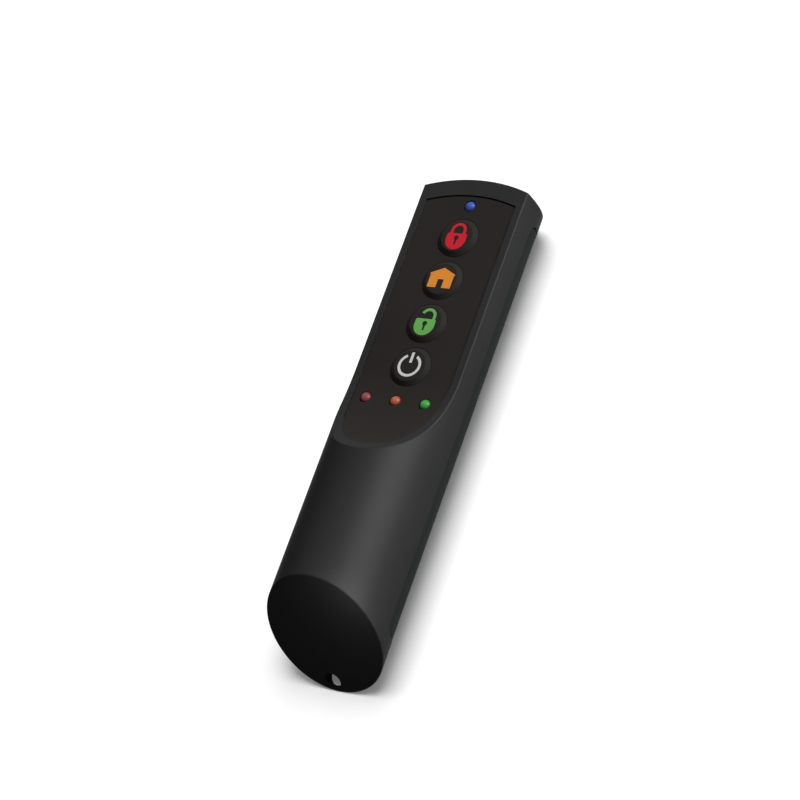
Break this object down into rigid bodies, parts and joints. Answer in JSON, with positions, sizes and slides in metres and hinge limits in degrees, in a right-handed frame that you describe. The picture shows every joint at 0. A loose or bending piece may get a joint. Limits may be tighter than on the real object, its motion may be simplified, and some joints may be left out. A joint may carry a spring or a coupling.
{
  "type": "alarm key fob",
  "caption": "Black hand-held alarm key fob: a round bar with a slanted end and a flat keypad face that carries padlock, house and power keys, coloured lamps and a lanyard hole.",
  "frame": {"origin": "under the middle of the bar's length and width, on the surface that it lies on", "axes": "+Y along the bar towards the blue lamp, +Z out of the keypad face, +X to the right of the keys"},
  "size_m": [0.0303, 0.1273, 0.0302],
  "materials": {
    "shell_black": "satin",
    "cover_black": "satin",
    "panel_black": "fine matt",
    "key_rubber": "soft satin",
    "mark_red": "satin",
    "mark_orange": "satin",
    "mark_green": "satin",
    "mark_white": "satin",
    "lamp_red_clear": "clear, coloured",
    "lamp_amber_clear": "clear, coloured",
    "lamp_green_clear": "clear, coloured",
    "lamp_blue_clear": "clear, coloured",
    "tinned_wire": "tinned",
    "board_green": "lacquered",
    "part_black": "matt",
    "plunger_white": "matt",
    "can_steel": "plain",
    "tray_black": "matt",
    "cell_wrap": "printed wrap, plain",
    "contact_nickel": "bright nickel",
    "screw_zinc": "zinc plated"
  },
  "bodies": {
    "housing": {"front_housing": "shell_black", "rear_cover": "cover_black", "control_panel": "panel_black", "switch_bodies": "part_black", "circuit_board": "board_green", "lamp_red": "lamp_red_clear", "lamp_amber": "lamp_amber_clear", "lamp_green": "lamp_green_clear", "lamp_blue": "lamp_blue_clear", "lamp_legs": "tinned_wire", "radio_module": "can_steel", "controller_chip": "part_black", "board_parts": "can_steel", "antenna": "contact_nickel", "battery_tray": "tray_black", "battery_cells": "cell_wrap", "bridge_contact": "contact_nickel", "positive_contact": "contact_nickel", "negative_contact": "contact_nickel", "case_screws": "screw_zinc"},
    "battery_door": {"battery_door": "cover_black"},
    "key_lock": {"key_lock": "key_rubber", "mark_lock": "mark_red", "plunger_lock": "plunger_white"},
    "key_house": {"key_house": "key_rubber", "mark_house": "mark_orange", "plunger_house": "plunger_white"},
    "key_unlock": {"key_unlock": "key_rubber", "mark_unlock": "mark_green", "plunger_unlock": "plunger_white"},
    "key_power": {"key_power": "key_rubber", "mark_power": "mark_white", "plunger_power": "plunger_white"}
  },
  "joints": [
    {"name": "lock_press", "type": "slide", "parent": "housing", "child": "key_lock", "axis": [0, 0, -1], "range_m": [0, 0.0006], "stiffness_N_per_m": 3000},
    {"name": "house_press", "type": "slide", "parent": "housing", "child": "key_house", "axis": [0, 0, -1], "range_m": [0, 0.0006], "stiffness_N_per_m": 3000},
    {"name": "unlock_press", "type": "slide", "parent": "housing", "child": "key_unlock", "axis": [0, 0, -1], "range_m": [0, 0.0006], "stiffness_N_per_m": 3000},
    {"name": "power_press", "type": "slide", "parent": "housing", "child": "key_power", "axis": [0, 0, -1], "range_m": [0, 0.0006], "stiffness_N_per_m": 3000},
    {"name": "door_tilt", "type": "hinge", "parent": "housing", "child": "battery_door", "pos_m": [0, -0.0495, 0.00002], "axis": [-1, 0, 0], "range_deg": [0, 50]}
  ]
}
